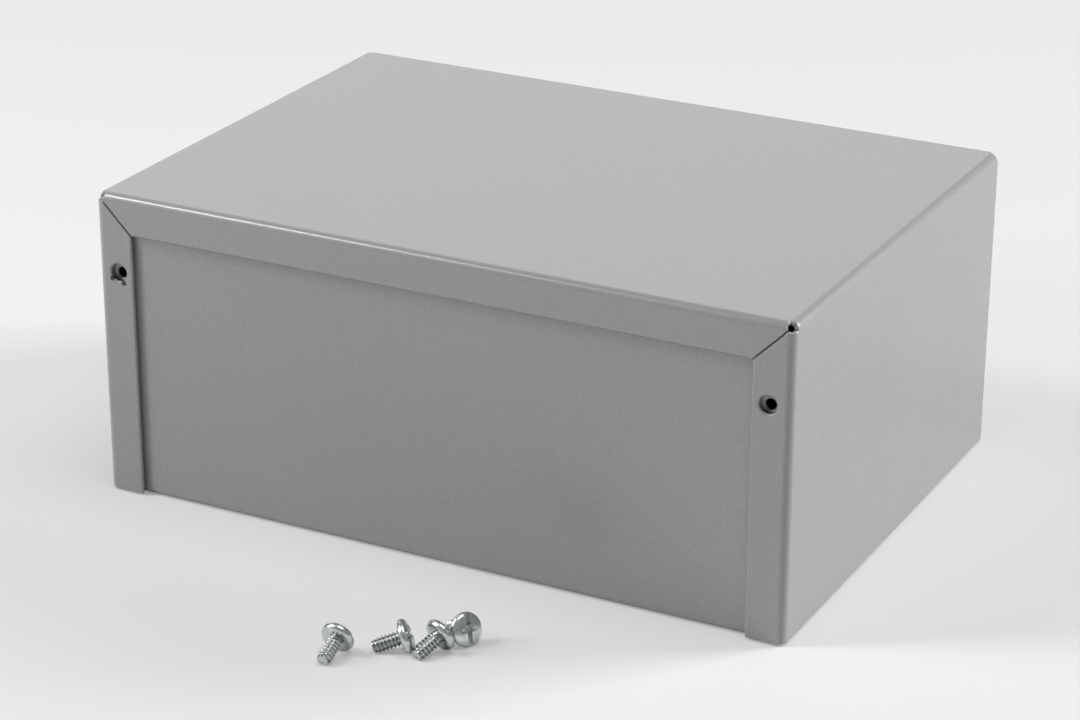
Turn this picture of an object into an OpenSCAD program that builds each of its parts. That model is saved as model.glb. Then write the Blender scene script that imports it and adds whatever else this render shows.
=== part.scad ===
// Two-piece sheet aluminium project box with loose cover screws, in millimetres.
// The base is a plain U: bottom, front panel and rear panel folded from one sheet.
// The cover is a flanged U: top and two ends, with a narrow flange turned in along every open edge.
// Four screws hold the cover's end flanges to the base's panels. Here they lie in front of the box.
// Origin at the centre of the base's underside, front panel towards -Y, +Z up.

/* [Box] */
// Outside width, end to end
box_w = 177.8; // [120:0.1:300]
// Outside depth, front flange to rear flange
box_d = 127; // [80:0.1:220]
// Overall height, base underside to cover top
box_h = 76.6; // [45:0.1:150]

/* [Sheet] */
// Sheet thickness
sheet_t = 1; // [0.8:0.1:1.5]
// Inside radius of every fold
bend_r = 1; // [0.6:0.1:1.5]

/* [Cover] */
// Width of the flanges turned in along the cover's open edges
flange_w = 9.5; // [8.5:0.1:14]
// Width of the mitre slit between two flanges
mitre_gap = 0.35; // [0.2:0.05:0.8]
// Half angle of the punched corner relief, seen from the fold's centre
relief_angle = 42; // [38:1:48]
// Corner radius at the lower end of an end flange
toe_r = 0.7; // [0.3:0.1:2]
// Height of the cover's lower edges above the base underside while the screws are out
skirt_gap = 0.4; // [0.2:0.1:1]

/* [Base] */
// Least clearance between the base and the inside of the cover's folds
fit_gap = 0.3; // [0.2:0.05:0.5]
// Corner cut at the upper ends of the two panels
panel_clip = 3; // [2:0.5:6]

/* [Screw holes] */
// Clearance hole through an end flange
clear_d = 4.4; // [4:0.1:5]
// Pilot hole in a panel
pilot_d = 2.6; // [2.4:0.1:3]
// Hole centre in from the end of the box
hole_inset = 5.6; // [5.4:0.1:8]
// Hole centre down from the top of the box
hole_drop = 19.4; // [15:0.1:30]

/* [Screws] */
// Length under the head
screw_l = 6.5; // [6:0.1:10]
// Outside diameter of the thread
thread_d = 3.5; // [3.2:0.1:3.9]
// Core diameter of the thread
core_d = 2.7; // [2.4:0.1:2.8]
// Diameter of the blunt tip
tip_d = 2.6; // [2:0.1:2.6]
// Thread pitch
thread_p = 0.9; // [0.8:0.05:1.3]
// Head diameter
head_d = 7.8; // [6.8:0.1:9]
// Head height
head_h = 2.6; // [2.4:0.1:3.2]
// Rounding at the edge of the head
rim_r = 1.05; // [0.7:0.05:1.1]
// Width of the slot and of the cross wings
slot_w = 1.15; // [0.7:0.05:1.2]
// Depth of the slot from the crown
slot_depth = 1; // [0.7:0.1:1.2]
// Tip to tip size of the cross recess
cross_w = 4.8; // [3.5:0.1:5]
// Depth of the cross recess from the crown
cross_depth = 1.6; // [1.2:0.1:1.8]

/* [Hidden] */
$fn = 64;
eps = 0.05;
// Outside radius of every fold
fold_r = bend_r + sheet_t;
// Gap all round the base, so that its edges keep fit_gap from the inside of the folds
nest_gap = bend_r - (bend_r - fit_gap) * sqrt(0.5);
// Centres of the cover's folds
fold_x = box_w / 2 - fold_r;
fold_y = box_d / 2 - fold_r;
fold_z = box_h - fold_r;
// Angle of a cube's diagonal above its base
diagonal_angle = atan(sqrt(0.5));
// Outside of the base
base_w = box_w - 2 * (sheet_t + nest_gap);
base_d = box_d - 2 * (sheet_t + nest_gap);
base_h = box_h - sheet_t - nest_gap;
base_fold_y = base_d / 2 - fold_r;
// Screw holes: the panel's hole sits lower, so that driving a screw draws the cover down by skirt_gap
hole_x = box_w / 2 - hole_inset;
flange_hole_z = box_h - hole_drop;
pilot_z = flange_hole_z - skirt_gap;
// Thread: segments in a turn, ridge width at the core, plain length at each end, number of turns
thread_n = 20;
ridge_w = 0.5;
tip_plain = 0.2;
head_plain = 0.25;
thread_turns = floor((screw_l - tip_plain - head_plain - ridge_w) / thread_p);
thread_steps = thread_turns * thread_n;
// Length over which the tip tapers, and how much of the ridge stands at its two ends
tip_taper = 1.6;
ridge_end = 0.35;
// Crown radius that runs smoothly into the rounded edge of the head
crown_r = ((head_d / 2 - rim_r) ^ 2 + (head_h - rim_r) ^ 2 - rim_r ^ 2) / (2 * (head_h - 2 * rim_r));
crown_angle = asin((head_d / 2 - rim_r) / (crown_r - rim_r));
arc_steps = 8;
// A screw at rest lies on the rim of its head and on its tip, so its axis dips towards the tip
rest_side = (head_d - tip_d) / 2 - rim_r;
rest_run = screw_l + rim_r;
rest_tilt = acos(-rim_r / norm([rest_side, rest_run])) - atan2(rest_run, rest_side);
rest_h = (head_d / 2 - rim_r) * cos(rest_tilt) + rim_r * (1 - sin(rest_tilt));
// Places of the screws in front of the box: right, forward, heading of the head, turn about its own axis
spot_unit = (head_d + 2 * head_h + 2 * screw_l) / 3;
spots = [
    [0.374, 5.508, 182, 20],
    [1.76, 4.613, 120, 75],
    [2.561, 4.194, 161, 40],
    [2.937, 3.479, 61, -2],
];

// Fold: a quarter-round strip of sheet along +Z, between a face looking along +X and one along +Y
module fold(length) {
    rotate_extrude(angle = 90)
        translate([bend_r, 0])
            square([sheet_t, length]);
}

// Stands an outline drawn in X and Z up as a sheet whose outer face is at distance y from the middle
module upright(y, side) {
    translate([0, side * y, 0])
        rotate([90, 0, 0])
            translate([0, 0, side > 0 ? 0 : -sheet_t])
                linear_extrude(sheet_t)
                    children();
}

// The three flanges round one open side of the cover, with rounded toes and clearance holes
module flange_frame() {
    open_w = box_w - 2 * flange_w;
    open_h = box_h - flange_w;
    difference() {
        translate([-fold_x, skirt_gap])
            square([2 * fold_x, fold_z - skirt_gap]);
        translate([-open_w / 2, 0])
            square([open_w, open_h]);
        for (s = [-1, 1]) {
            // rounded toe
            translate([s * (open_w / 2 + toe_r / 2), skirt_gap + toe_r / 2])
                difference() {
                    square(toe_r + eps, center = true);
                    translate([s * toe_r / 2, toe_r / 2])
                        circle(toe_r);
                }
            // clearance hole
            translate([s * hole_x, flange_hole_z])
                circle(d = clear_d);
        }
    }
}

// Folds round the cover: along the top's ends and open edges, and down the ends' upright edges
module cover_folds() {
    for (s = [-1, 1]) {
        // top to end
        translate([s * fold_x, s * fold_y, fold_z])
            rotate([90, 0, s > 0 ? 0 : 180])
                fold(2 * fold_y);
        // top to flange
        translate([-s * fold_x, s * fold_y, fold_z])
            rotate([90, 0, s > 0 ? 90 : 270])
                fold(2 * fold_x);
        // end to flange
        for (e = [-1, 1])
            translate([e * fold_x, s * fold_y, skirt_gap])
                rotate(e > 0 ? (s > 0 ? 0 : 270) : (s > 0 ? 90 : 180))
                    fold(fold_z - skirt_gap);
    }
}

// Open corner where three folds meet: a cone from the folds' centre out along the diagonal
module corner_relief() {
    reach = 2 * fold_r;
    for (x = [-1, 1], y = [-1, 1])
        translate([x * fold_x, y * fold_y, fold_z])
            rotate([0, 0, atan2(y, x)])
                rotate([0, 90 - diagonal_angle, 0])
                    cylinder(h = reach, r1 = 0, r2 = reach * tan(relief_angle));
}

// Slits along the four mitres, through the flanges and the ends of their folds
module mitre_slits() {
    slit_l = (flange_w - fold_r) * sqrt(2) + mitre_gap;
    from_y = fold_y + bend_r / 2;
    for (x = [-1, 1], y = [-1, 1])
        translate([x * fold_x, y > 0 ? from_y : -from_y - fold_r, fold_z])
            rotate([0, x * 45, 0])
                translate([-mitre_gap / 2, 0, -slit_l])
                    cube([mitre_gap, fold_r, slit_l + mitre_gap]);
}

module cover() {
    color([0.55, 0.55, 0.54])
        difference() {
            union() {
                translate([-fold_x, -fold_y, box_h - sheet_t])
                    cube([2 * fold_x, 2 * fold_y, sheet_t]);
                for (s = [-1, 1]) {
                    translate([s > 0 ? box_w / 2 - sheet_t : -box_w / 2, -fold_y, skirt_gap])
                        cube([sheet_t, 2 * fold_y, fold_z - skirt_gap]);
                    upright(box_d / 2, s)
                        flange_frame();
                }
                cover_folds();
            }
            corner_relief();
            mitre_slits();
        }
}

// Outline of a front or rear panel above its fold, with clipped upper corners and two pilot holes
module panel_outline() {
    half = base_w / 2;
    difference() {
        polygon([
            [-half, fold_r],
            [half, fold_r],
            [half, base_h - panel_clip],
            [half - panel_clip, base_h],
            [panel_clip - half, base_h],
            [-half, base_h - panel_clip],
        ]);
        for (s = [-1, 1])
            translate([s * hole_x, pilot_z])
                circle(d = pilot_d);
    }
}

module base() {
    color([0.53, 0.53, 0.52])
        union() {
            translate([-base_w / 2, -base_fold_y, 0])
                cube([base_w, 2 * base_fold_y, sheet_t]);
            for (s = [-1, 1]) {
                upright(base_d / 2, s)
                    panel_outline();
                // bottom to panel
                translate([s * base_w / 2, s * base_fold_y, fold_r])
                    rotate([-90, 0, s > 0 ? 90 : 270])
                        fold(base_w);
            }
        }
}

// Half section of a screw head: flat underside, rounded edge, shallow crown
function head_section() = concat(
    [[0, 0]],
    [
        for (i = [0:arc_steps])
            let (a = -90 + i * (180 - crown_angle) / arc_steps)
                [head_d / 2 - rim_r + rim_r * cos(a), rim_r + rim_r * sin(a)],
    ],
    [
        for (i = [1:arc_steps])
            let (a = crown_angle * (1 - i / arc_steps))
                [crown_r * sin(a), head_h - crown_r * (1 - cos(a))],
    ]
);

// Driving recess: a slot right across the head and a tapered cross in its middle
module recess() {
    translate([-head_d / 2, -slot_w / 2, head_h - slot_depth])
        cube([head_d, slot_w, slot_depth + eps]);
    for (a = [0, 90])
        rotate(a)
            rotate([90, 0, 0])
                linear_extrude(slot_w, center = true)
                    polygon([
                        [-cross_w / 2, head_h + eps],
                        [-cross_w / 5, head_h - cross_depth],
                        [cross_w / 5, head_h - cross_depth],
                        [cross_w / 2, head_h + eps],
                    ]);
}

// Core radius at height z under the head, and how far the ridge stands out at step s
function core_at(z) = (tip_d + (core_d - tip_d) * min(1, (z + screw_l) / tip_taper)) / 2;
function ridge_at(s) = (thread_d - core_d) / 2
    * min(1, ridge_end + s / thread_n * 0.65, ridge_end + (thread_steps - s) / thread_n * 1.5);
function at_step(s, r, z) = [r * cos(360 * s / thread_n), r * sin(360 * s / thread_n), z];
// Lower foot, crest and upper foot of the ridge at step s
function ridge_points(s) =
    let (z = tip_plain - screw_l + thread_p * s / thread_n)
        [
            at_step(s, core_at(z), z),
            at_step(s, core_at(z) + ridge_at(s), z + ridge_w / 2),
            at_step(s, core_at(z + ridge_w), z + ridge_w),
        ];

// Threaded part of a screw: one closed skin with the ridge running up it as a helix
module threaded() {
    turn = [for (s = [0:thread_n - 1]) s];
    points = concat(
        [for (s = [0:thread_steps]) each ridge_points(s)],
        [for (s = turn) at_step(s, tip_d / 2, -screw_l)],
        [for (s = turn) at_step(s, core_d / 2, 0)]
    );
    tip = 3 * (thread_steps + 1);
    top = tip + thread_n;
    end = 3 * thread_steps;
    last = end - 3 * thread_n;
    faces = concat(
        // two flanks of the ridge, and its two ends
        [
            for (s = [0:thread_steps - 1], k = [0, 1])
                let (a = 3 * s + k)
                    each fan([a, a + 1, a + 4, a + 3]),
        ],
        [[2, 1, 0], [end, end + 1, end + 2]],
        // groove between two turns
        [
            for (s = [0:thread_steps - thread_n - 1])
                let (a = 3 * s + 2, b = 3 * (s + thread_n))
                    each fan([a, b, b + 3, a + 3]),
        ],
        // plain ring below the thread, and the seam where the first turn closes
        [for (s = [0:thread_n - 2]) each fan([tip + s, 3 * s, 3 * s + 3, tip + s + 1])],
        fan([top - 1, 3 * thread_n - 3, 3 * thread_n, 2, 0, tip]),
        // plain ring above the thread, and the seam where the last turn closes
        [
            for (s = [1:thread_n - 1])
                let (a = last + 3 * s + 2)
                    each fan([a, top + s, top + (s + 1) % thread_n, a + 3]),
        ],
        fan([last + 5, last + 2, end, end + 2, top, top + 1]),
        // end faces
        [[for (s = turn) tip + s]],
        [[for (s = turn) top + thread_n - 1 - s]]
    );
    polyhedron(points, faces);
}

// Triangles from the first point of a flat outline to its other edges
function fan(p) = [for (i = [1:len(p) - 2]) [p[0], p[i], p[i + 1]]];

// One cover screw, at rest in front of the box
module cover_screw(i) {
    spot = spots[i];
    color([0.72, 0.73, 0.74])
        translate([spot[0] * spot_unit, -box_d / 2 - spot[1] * spot_unit, rest_h])
            rotate([0, 90 - rest_tilt, spot[2] - 90])
                rotate(spot[3])
                    union() {
                        difference() {
                            rotate_extrude()
                                polygon(head_section());
                            recess();
                        }
                        threaded();
                    }
}

base();
cover();
cover_screw(0);  // cover_screw_1
cover_screw(1);  // cover_screw_2
cover_screw(2);  // cover_screw_3
cover_screw(3);  // cover_screw_4
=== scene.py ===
"""Looks of a folded sheet-metal project box: a plain base, a flanged cover and four loose cover screws."""

import logging
import math
from collections.abc import Callable
from dataclasses import dataclass, field, fields
from enum import Enum

import bmesh
import bpy
from bmesh.types import BMVert
from bpy.types import Material, Mesh, Node, NodeSocket, NodeTree, Object
from mathutils import Matrix, Vector


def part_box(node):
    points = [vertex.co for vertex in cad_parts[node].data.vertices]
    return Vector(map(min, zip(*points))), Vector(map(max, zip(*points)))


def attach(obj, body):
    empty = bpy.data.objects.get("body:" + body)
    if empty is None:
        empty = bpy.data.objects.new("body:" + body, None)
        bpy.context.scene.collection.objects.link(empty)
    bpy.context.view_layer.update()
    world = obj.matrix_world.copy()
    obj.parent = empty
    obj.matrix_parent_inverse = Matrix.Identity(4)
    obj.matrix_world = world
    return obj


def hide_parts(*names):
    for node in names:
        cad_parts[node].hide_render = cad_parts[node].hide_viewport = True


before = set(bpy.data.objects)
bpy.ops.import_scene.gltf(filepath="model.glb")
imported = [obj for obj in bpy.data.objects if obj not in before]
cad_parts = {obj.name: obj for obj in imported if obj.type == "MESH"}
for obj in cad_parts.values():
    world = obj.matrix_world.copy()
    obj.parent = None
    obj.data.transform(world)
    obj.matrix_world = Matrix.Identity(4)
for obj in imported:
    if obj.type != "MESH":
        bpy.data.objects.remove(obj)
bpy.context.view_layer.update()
MM = 0.001
RIGHT_ANGLE = math.pi / 2
LOG = logging.getLogger("project_box")

Point = tuple[float, float]
Triple = tuple[float, float, float]


class CornerCut(Enum):
    """How a free corner of a sheet is finished."""

    ROUND = "round"
    CLIP = "clip"

    def cut(self, x: float, y: float, last: Point, size: float) -> Point:
        """Moves a grid point in the square at a corner of a sheet to the finished corner.

        Args:
            x: Place along X, from the middle of the sheet.
            y: Place along Y, from the middle of the sheet.
            last: Corner of the uncut outline.
            size: Side of the square.

        Returns:
            The point after the corner is cut.
        """
        start_x, start_y = last[0] - size, last[1] - size
        u, v = (x - start_x) / size, (y - start_y) / size
        if u <= 0 or v <= 0:
            return x, y
        if self is CornerCut.ROUND:
            u, v = u * math.sqrt(1 - v * v / 2), v * math.sqrt(1 - u * u / 2)
        else:
            u, v = u * (1 - v / 2), v * (1 - u / 2)
        return start_x + u * size, start_y + v * size


def grid_lines(*stretches: tuple[float, int]) -> list[float]:
    """Lists grid lines in even steps from the middle of a blank outwards, mirrored about zero.

    Args:
        stretches: End of each stretch and the number of its steps.

    Returns:
        Rising values from the negative end to the positive end.
    """
    half = [0.0]
    for end, steps in stretches:
        start = half[-1]
        half.extend(start + (end - start) * k / steps for k in range(1, steps + 1))
    return [-value for value in reversed(half[1:])] + half


def scaled(colour: Triple, factor: float) -> Triple:
    """Returns a colour made lighter or darker."""
    return tuple(part * factor for part in colour)


def math_node(operation: str, swapped: bool = False) -> Callable[..., "Number"]:
    """Makes a method of a number that adds a Math node.

    Args:
        operation: The node's operation.
        swapped: Whether the other number comes first.

    Returns:
        The method.
    """
    def method(number: "Number", *others: object) -> "Number":
        """Adds the node and returns its result."""
        operands = (*others, number) if swapped else (number, *others)
        return number.wiring.calc(operation, *operands)
    return method


@dataclass(frozen=True)
class Number:
    """A number that an output socket of a tree gives. Python's arithmetic on it adds Math nodes."""

    __add__ = math_node("ADD")
    __sub__ = math_node("SUBTRACT")
    __rsub__ = math_node("SUBTRACT", swapped=True)
    __mul__ = math_node("MULTIPLY")
    __truediv__ = math_node("DIVIDE")
    __rtruediv__ = math_node("DIVIDE", swapped=True)
    __abs__ = math_node("ABSOLUTE")
    sign = math_node("SIGN")
    sine = math_node("SINE")
    cosine = math_node("COSINE")
    root = math_node("SQRT")
    rounded = math_node("ROUND")
    fraction = math_node("FRACT")
    at_least = math_node("MAXIMUM")
    at_most = math_node("MINIMUM")
    is_above = math_node("GREATER_THAN")
    is_below = math_node("LESS_THAN")

    wiring: "Wiring"
    socket: NodeSocket

    def __neg__(self) -> "Number":
        """Turns the sign round."""
        return self * -1.0

    def clamp(self, low: object = 0.0, high: object = 1.0) -> "Number":
        """Holds the number between two limits."""
        return self.at_least(low).at_most(high)


class Wiring:
    """Adds nodes to a tree and joins their sockets."""

    SPACING = 190

    def __init__(self, tree: NodeTree) -> None:
        """Starts on an empty tree."""
        tree.nodes.clear()
        self.tree = tree

    def add(self, kind: str, inputs: dict | None = None, **settings: object) -> Node:
        """Adds one node.

        Args:
            kind: The node type's identifier.
            inputs: A value, a number or an output socket for each input, by name or place.
            settings: Properties of the node.

        Returns:
            The new node.
        """
        node = self.tree.nodes.new(kind)
        node.location.x = self.SPACING * len(self.tree.nodes)
        for name, value in settings.items():
            setattr(node, name, value)
        for key, value in (inputs or {}).items():
            self.feed(node.inputs[key], value)
        return node

    def make(self, kind: str, inputs: dict | None = None, **settings: object) -> NodeSocket:
        """Adds one node and returns its first output."""
        return self.add(kind, inputs, **settings).outputs[0]

    def feed(self, socket: NodeSocket, value: object) -> None:
        """Links a number or an output socket to an input, or sets the input's own value.

        Args:
            socket: The input.
            value: What it takes; a colour has three parts and is opaque.
        """
        if isinstance(value, Number):
            value = value.socket
        if isinstance(value, NodeSocket):
            self.tree.links.new(value, socket)
        elif socket.type == "RGBA":
            socket.default_value = (*value, 1.0)
        else:
            socket.default_value = value

    def calc(self, operation: str, *operands: object) -> Number:
        """Adds a Math node and returns its result."""
        return Number(self, self.make("ShaderNodeMath", dict(enumerate(operands)), operation=operation))

    def ramp(self, value: object, low: object, high: object, bottom: float = 0.0, top: float = 1.0) -> Number:
        """Adds a smooth step from bottom, where the value is low, to top, where it is high."""
        inputs = {"Value": value, "From Min": low, "From Max": high, "To Min": bottom, "To Max": top}
        return Number(self, self.make("ShaderNodeMapRange", inputs, interpolation_type="SMOOTHSTEP"))

    def blend(self, factor: object, first: object, second: object) -> Number:
        """Mixes two numbers."""
        return Number(self, self.make("ShaderNodeMix", {0: factor, 2: first, 3: second}, data_type="FLOAT"))

    def tint(self, factor: object, first: object, second: object) -> NodeSocket:
        """Mixes two colours."""
        return self.add("ShaderNodeMix", {0: factor, 6: first, 7: second}, data_type="RGBA").outputs[2]

    def noise(self, place: NodeSocket, size: object, detail: float = 3.0) -> Number:
        """Adds noise of about 0.5, with features of a size in the unit of the place."""
        inputs = {"Vector": place, "Scale": 1.0 / size, "Detail": detail}
        return Number(self, self.make("ShaderNodeTexNoise", inputs))

    def parts(self, vector: NodeSocket) -> list[Number]:
        """Splits a vector into its X, Y and Z."""
        return [Number(self, part) for part in self.add("ShaderNodeSeparateXYZ", {0: vector}).outputs]

    def joined(self, x: object = 0.0, y: object = 0.0, z: object = 0.0) -> NodeSocket:
        """Joins three numbers to a vector."""
        return self.make("ShaderNodeCombineXYZ", {"X": x, "Y": y, "Z": z})

    def in_mm(self, place: NodeSocket) -> NodeSocket:
        """Turns a place in metres into millimetres."""
        return self.make("ShaderNodeVectorMath", {0: place, "Scale": 1 / MM}, operation="SCALE")

    def attribute(self, name: str, output: str) -> NodeSocket:
        """Reads a mesh's named attribute in a material."""
        return self.add("ShaderNodeAttribute", attribute_name=name).outputs[output]

    def store(self, mesh: NodeSocket, name: str, value: object, kind: str, domain: str = "POINT",
              where: object = True) -> NodeSocket:
        """Stores a named attribute of a kind on the chosen elements of a mesh."""
        inputs = {"Geometry": mesh, "Name": name, "Value": value, "Selection": where}
        return self.make("GeometryNodeStoreNamedAttribute", inputs, data_type=kind, domain=domain)

    def group(self, kind: str, tree: NodeTree, inputs: dict[str, object]) -> dict[str, Number]:
        """Adds a node group and returns the numbers that it gives, by name."""
        outputs = self.add(kind, inputs, node_tree=tree).outputs
        return {output.name: Number(self, output) for output in outputs}

    def dress(self, mesh: NodeSocket, finish: NodeSocket) -> NodeSocket:
        """Makes instances real and gives the mesh its finish."""
        real = self.make("GeometryNodeRealizeInstances", {"Geometry": mesh})
        return self.make("GeometryNodeSetMaterial", {"Geometry": real, "Material": finish})

    def bump(self, height: Number, depth_mm: float) -> NodeSocket:
        """Turns a height from 0 to 1 into a normal."""
        return self.make("ShaderNodeBump", {"Strength": 1.0, "Distance": depth_mm * MM, "Height": height})

    def shade(self, inputs: dict[str, object]) -> None:
        """Ends a material's tree with a Principled shader."""
        shader = self.make("ShaderNodeBsdfPrincipled", inputs)
        self.add("ShaderNodeOutputMaterial", {"Surface": shader})


def open_group(name: str, tree_kind: str, inputs: dict[str, str],
               outputs: dict[str, str]) -> tuple[Wiring, dict[str, object], Node]:
    """Makes an empty node group with named sockets.

    Args:
        name: Name of the group.
        tree_kind: GeometryNodeTree or ShaderNodeTree.
        inputs: NodeSocket kind for each input's name, such as Float or Vector.
        outputs: NodeSocket kind for each output's name.

    Returns:
        The group's wiring, its input numbers and sockets by name, and its output node.
    """
    tree = bpy.data.node_groups.new(name, tree_kind)
    wiring = Wiring(tree)
    for in_out, sockets in (("INPUT", inputs), ("OUTPUT", outputs)):
        for label, kind in sockets.items():
            tree.interface.new_socket(label, in_out=in_out, socket_type=f"NodeSocket{kind}")
    source = wiring.add("NodeGroupInput").outputs
    given = {label: Number(wiring, source[label]) if kind == "Float" else source[label]
             for label, kind in inputs.items()}
    return wiring, given, wiring.add("NodeGroupOutput")


def open_material(name: str) -> tuple[Material, Wiring]:
    """Makes an empty material.

    Args:
        name: Name of the material.

    Returns:
        The material and its wiring.
    """
    material = bpy.data.materials.new(name)
    material.use_nodes = True
    return material, Wiring(material.node_tree)


def link(item: Object) -> Object:
    """Puts an object in the scene and returns it."""
    bpy.context.scene.collection.objects.link(item)
    return item


def bake_nodes(name: str, mesh: Mesh, tree: NodeTree, values: dict[str, object],
               finishers: dict[str, dict[str, object]]) -> Object:
    """Runs a Geometry Nodes tree on a mesh and keeps the result as a plain mesh.

    Args:
        name: Name of the finished piece.
        mesh: Mesh that the tree starts from.
        tree: The tree.
        values: Value of each of the tree's named inputs.
        finishers: Settings of each modifier that follows the tree, by modifier type.

    Returns:
        The finished piece, with no modifiers.
    """
    maker = link(bpy.data.objects.new(f"{name}_maker", mesh))
    nodes = maker.modifiers.new("nodes", "NODES")
    nodes.node_group = tree
    for item in tree.interface.items_tree:
        if item.in_out == "INPUT" and item.name in values:
            nodes[item.identifier] = values[item.name]
    for kind, settings in finishers.items():
        modifier = maker.modifiers.new(kind.lower(), kind)
        for label, value in settings.items():
            setattr(modifier, label, value)
    graph = bpy.context.evaluated_depsgraph_get()
    solid = maker.evaluated_get(graph)
    made = bpy.data.meshes.new_from_object(solid, preserve_all_data_layers=True, depsgraph=graph)
    made.name = name
    bpy.data.objects.remove(maker)
    return link(bpy.data.objects.new(name, made))


def place_on_frame(piece: Object, body: str, node: str) -> None:
    """Rides a finished piece on its body in place of a CAD node and reports it.

    Args:
        piece: The finished piece.
        body: Body that carries it.
        node: CAD node that it stands for.
    """
    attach(piece, body)
    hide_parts(node)
    LOG.info("%s: %d faces on body %s", piece.name, len(piece.data.polygons), body)


@dataclass(frozen=True)
class Stock:
    """Sheet that the base and the cover are folded from, with the rounding of its kinds of cut edge."""

    thickness: float = 1.0 * MM
    inside_r: float = 1.0 * MM
    edge_r: float = 0.45 * MM
    crisp_r: float = 0.1 * MM
    relief_r: float = 0.4 * MM
    mitre_r: float = 0.3 * MM
    fold_steps: int = 12
    edge_steps: int = 4

    @property
    def fold_r(self) -> float:
        """Outside radius of a fold."""
        return self.inside_r + self.thickness

    @property
    def fold_run(self) -> float:
        """Length of a square fold along its outer face."""
        return self.fold_r * RIGHT_ANGLE

    def edge_profile(self, outer_r: float, inner_r: float) -> list[Point]:
        """Lists a rounded cut edge from the outer face to the inner one.

        Args:
            outer_r: Radius of the rounding at the outer face.
            inner_r: Radius of the rounding at the inner face.

        Returns:
            Distance out from the outer face's outline and depth under the outer face of each point.
        """
        arc = [RIGHT_ANGLE * k / self.edge_steps for k in range(1, self.edge_steps + 1)]
        upper = [(outer_r * math.sin(a), outer_r * (1 - math.cos(a))) for a in arc]
        lower = [(outer_r - inner_r * (1 - math.sin(a)), self.thickness - inner_r * (1 - math.cos(a)))
                 for a in reversed(arc)]
        return upper + lower


@dataclass(frozen=True)
class Hole:
    """Round hole in a blank, with half the side of the square of cells round it."""

    x: float
    y: float
    radius: float
    reach: float

    def takes(self, x: float, y: float) -> bool:
        """Tells whether a point lies in the square round the hole."""
        return abs(x - self.x) < self.reach and abs(y - self.y) < self.reach

    def at_corners(self) -> list["Hole"]:
        """Lists this hole and the three that mirror it about the middle of the blank."""
        return [Hole(sx * self.x, sy * self.y, self.radius, self.reach) for sx in (-1, 1) for sy in (-1, 1)]


@dataclass(frozen=True)
class GridSpot:
    """Where a grid point lies after trimming, the rounding of an edge there, and whether a mitre slit's
    painted shade covers it.
    """

    x: float
    y: float
    outer_r: float
    inner_r: float
    shaded: bool = False


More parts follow.
